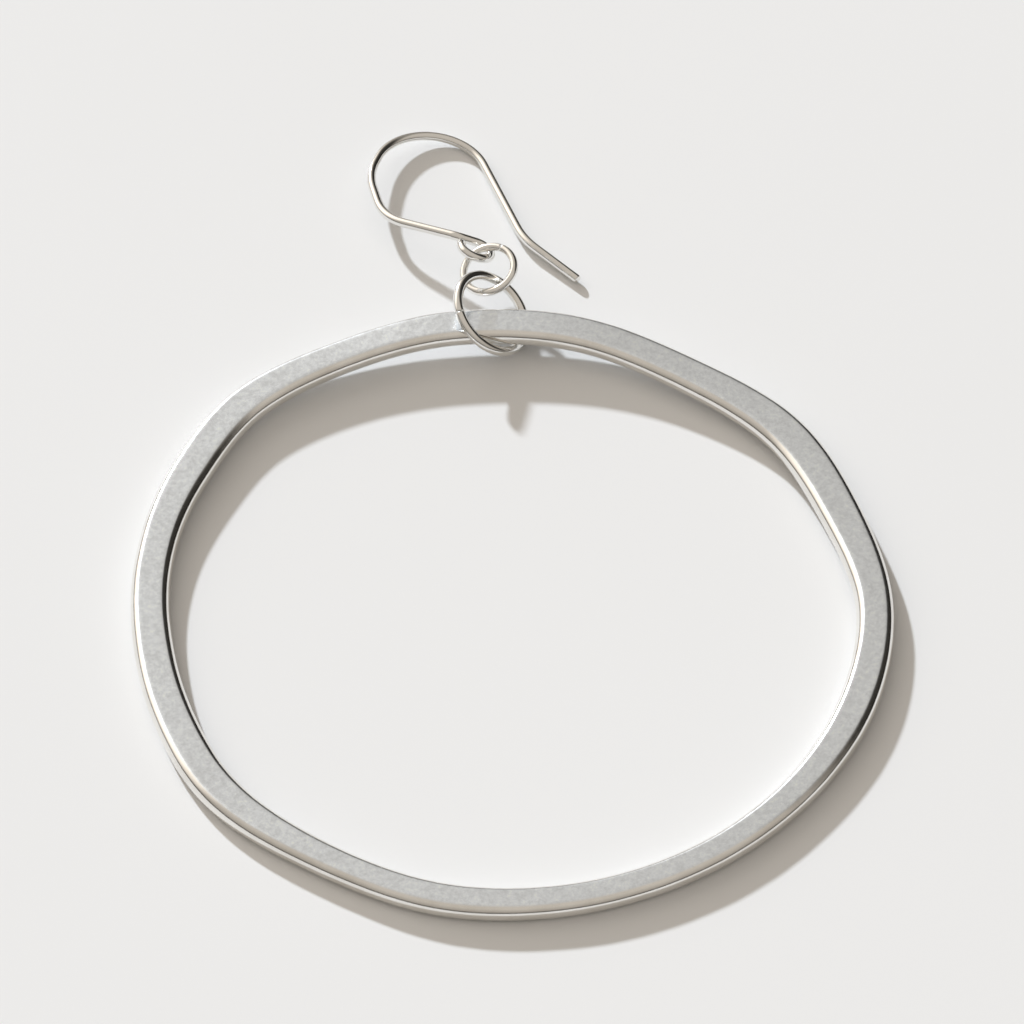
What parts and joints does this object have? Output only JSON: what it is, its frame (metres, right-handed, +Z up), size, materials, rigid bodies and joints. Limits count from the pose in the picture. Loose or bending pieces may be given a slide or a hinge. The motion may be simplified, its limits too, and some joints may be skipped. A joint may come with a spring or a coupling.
{
  "type": "hoop earring",
  "caption": "Sterling silver drop hoop earring: a large softly irregular hoop on linked jump rings and a French ear wire, lying flat.",
  "frame": {"origin": "on the surface that the earring lies on, under the middle of its outline", "axes": "+Z up, out of the hoop's flat face; +Y from the hoop towards the bow of the ear wire; +X to the right"},
  "size_m": [0.056, 0.077, 0.0047],
  "materials": {
    "satin_silver": "satin hammered-flat face with polished sides",
    "polished_silver": "polished round wire"
  },
  "bodies": {
    "root": {"hoop": "satin_silver", "hoop_ring": "polished_silver", "link_ring": "polished_silver", "ear_wire": "polished_silver"}
  },
  "joints": []
}
